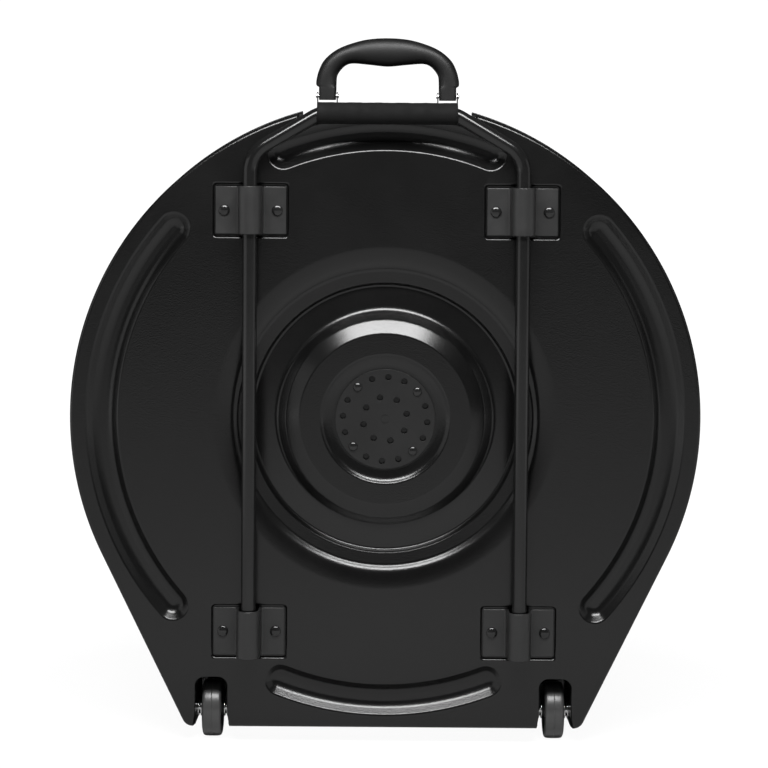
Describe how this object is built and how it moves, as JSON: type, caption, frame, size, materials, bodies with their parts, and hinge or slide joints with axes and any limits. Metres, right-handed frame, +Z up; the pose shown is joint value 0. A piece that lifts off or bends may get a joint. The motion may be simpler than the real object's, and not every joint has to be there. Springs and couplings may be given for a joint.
{
  "type": "wheeled cymbal case",
  "caption": "Round hard case for cymbals with a flat base, hinged lid, latches, centre post, carry handle, sliding tow bar and two wheels.",
  "frame": {"origin": "middle of the bounding box in X and Y, on the floor under the wheels and feet", "axes": "+Z up with the case standing; -Y is the back with the tow bar; +Y is the lid; +X is to the right seen from the back"},
  "size_m": [0.716, 0.2338, 0.7805],
  "materials": {
    "shell": "black moulded plastic with a fine pebble grain",
    "clamp": "dark grey powder coat, finely textured",
    "tube": "satin black paint",
    "sleeve": "dark grey foam rubber",
    "handle": "black, soft satin",
    "chrome": "bright",
    "steel": "zinc plated",
    "tyre": "smooth dark grey",
    "hub": "black moulded",
    "foam": "grey foam liner",
    "felt": "grey felt",
    "seal": "black",
    "rivet": "glossy black",
    "latch": "black moulded"
  },
  "bodies": {
    "case_back": {"back_shell": "shell", "rim_gasket": "seal", "back_foam": "foam", "vent_plate": "shell", "backing_plate": "steel", "centre_post": "steel", "felt_washer_lower": "felt", "felt_washer_upper": "felt", "cup_washer": "chrome", "upper_clamp_left": "clamp", "upper_clamp_right": "clamp", "guide_bush_left": "hub", "guide_bush_right": "hub", "lower_clamp_left": "clamp", "lower_clamp_right": "clamp", "clamp_rivet_upper_left_a": "rivet", "clamp_rivet_upper_left_b": "rivet", "clamp_rivet_upper_right_a": "rivet", "clamp_rivet_upper_right_b": "rivet", "clamp_rivet_lower_left_a": "rivet", "clamp_rivet_lower_left_b": "rivet", "clamp_rivet_lower_right_a": "rivet", "clamp_rivet_lower_right_b": "rivet", "handle_bracket_left": "chrome", "handle_bracket_right": "chrome", "handle_pin_left": "chrome", "handle_pin_right": "chrome", "axle_left": "chrome", "axle_right": "chrome", "hinge_leaf_back_left": "steel", "hinge_leaf_back_right": "steel", "hinge_pin_left": "steel", "hinge_pin_right": "steel"},
    "lid": {"lid_shell": "shell", "lid_foam": "foam", "foot_left": "seal", "foot_right": "seal", "hinge_leaf_lid_left": "steel", "hinge_leaf_lid_right": "steel", "latch_base_top": "latch", "latch_base_right": "latch", "latch_base_left": "latch", "latch_pin_top": "steel", "latch_pin_right": "steel", "latch_pin_left": "steel"},
    "nut": {"wing_nut": "chrome"},
    "tow_handle": {"tow_bar": "tube", "tow_sleeve": "sleeve", "tow_end_left": "hub", "tow_end_right": "hub"},
    "handle": {"carry_handle": "handle"},
    "wheel_left": {"tyre_left": "tyre", "hub_left": "hub"},
    "wheel_right": {"tyre_right": "tyre", "hub_right": "hub"},
    "latch_top": {"latch_lever_top": "latch"},
    "latch_right": {"latch_lever_right": "latch"},
    "latch_left": {"latch_lever_left": "latch"}
  },
  "joints": [
    {"name": "lid_hinge", "type": "hinge", "parent": "case_back", "child": "lid", "pos_m": [0, 0.01955, 0.0101], "axis": [-1, 0, 0], "range_deg": [0, 105]},
    {"name": "tow_slide", "type": "slide", "parent": "case_back", "child": "tow_handle", "axis": [0, 0, 1], "range_m": [0, 0.446]},
    {"name": "handle_hinge", "type": "hinge", "parent": "case_back", "child": "handle", "pos_m": [0, -0.00675, 0.7153], "axis": [1, 0, 0], "range_deg": [-85, 85]},
    {"name": "wheel_left_spin", "type": "hinge", "parent": "case_back", "child": "wheel_left", "pos_m": [-0.18976, -0.05475, 0.0315], "axis": [1, 0, 0], "continuous": true},
    {"name": "wheel_right_spin", "type": "hinge", "parent": "case_back", "child": "wheel_right", "pos_m": [0.18976, -0.05475, 0.0315], "axis": [1, 0, 0], "continuous": true},
    {"name": "wing_nut_spin", "type": "hinge", "parent": "case_back", "child": "nut", "pos_m": [0, -0.04475, 0.36], "axis": [0, 1, 0], "continuous": true},
    {"name": "latch_top_hinge", "type": "hinge", "parent": "lid", "child": "latch_top", "pos_m": [0, 0.04325, 0.695], "axis": [-1, 0, 0], "range_deg": [0, 110]},
    {"name": "latch_right_hinge", "type": "hinge", "parent": "lid", "child": "latch_right", "pos_m": [0.3548, 0.04325, 0.36], "axis": [0, 0, 1], "range_deg": [0, 110]},
    {"name": "latch_left_hinge", "type": "hinge", "parent": "lid", "child": "latch_left", "pos_m": [-0.3548, 0.04325, 0.36], "axis": [0, 0, -1], "range_deg": [0, 110]}
  ]
}
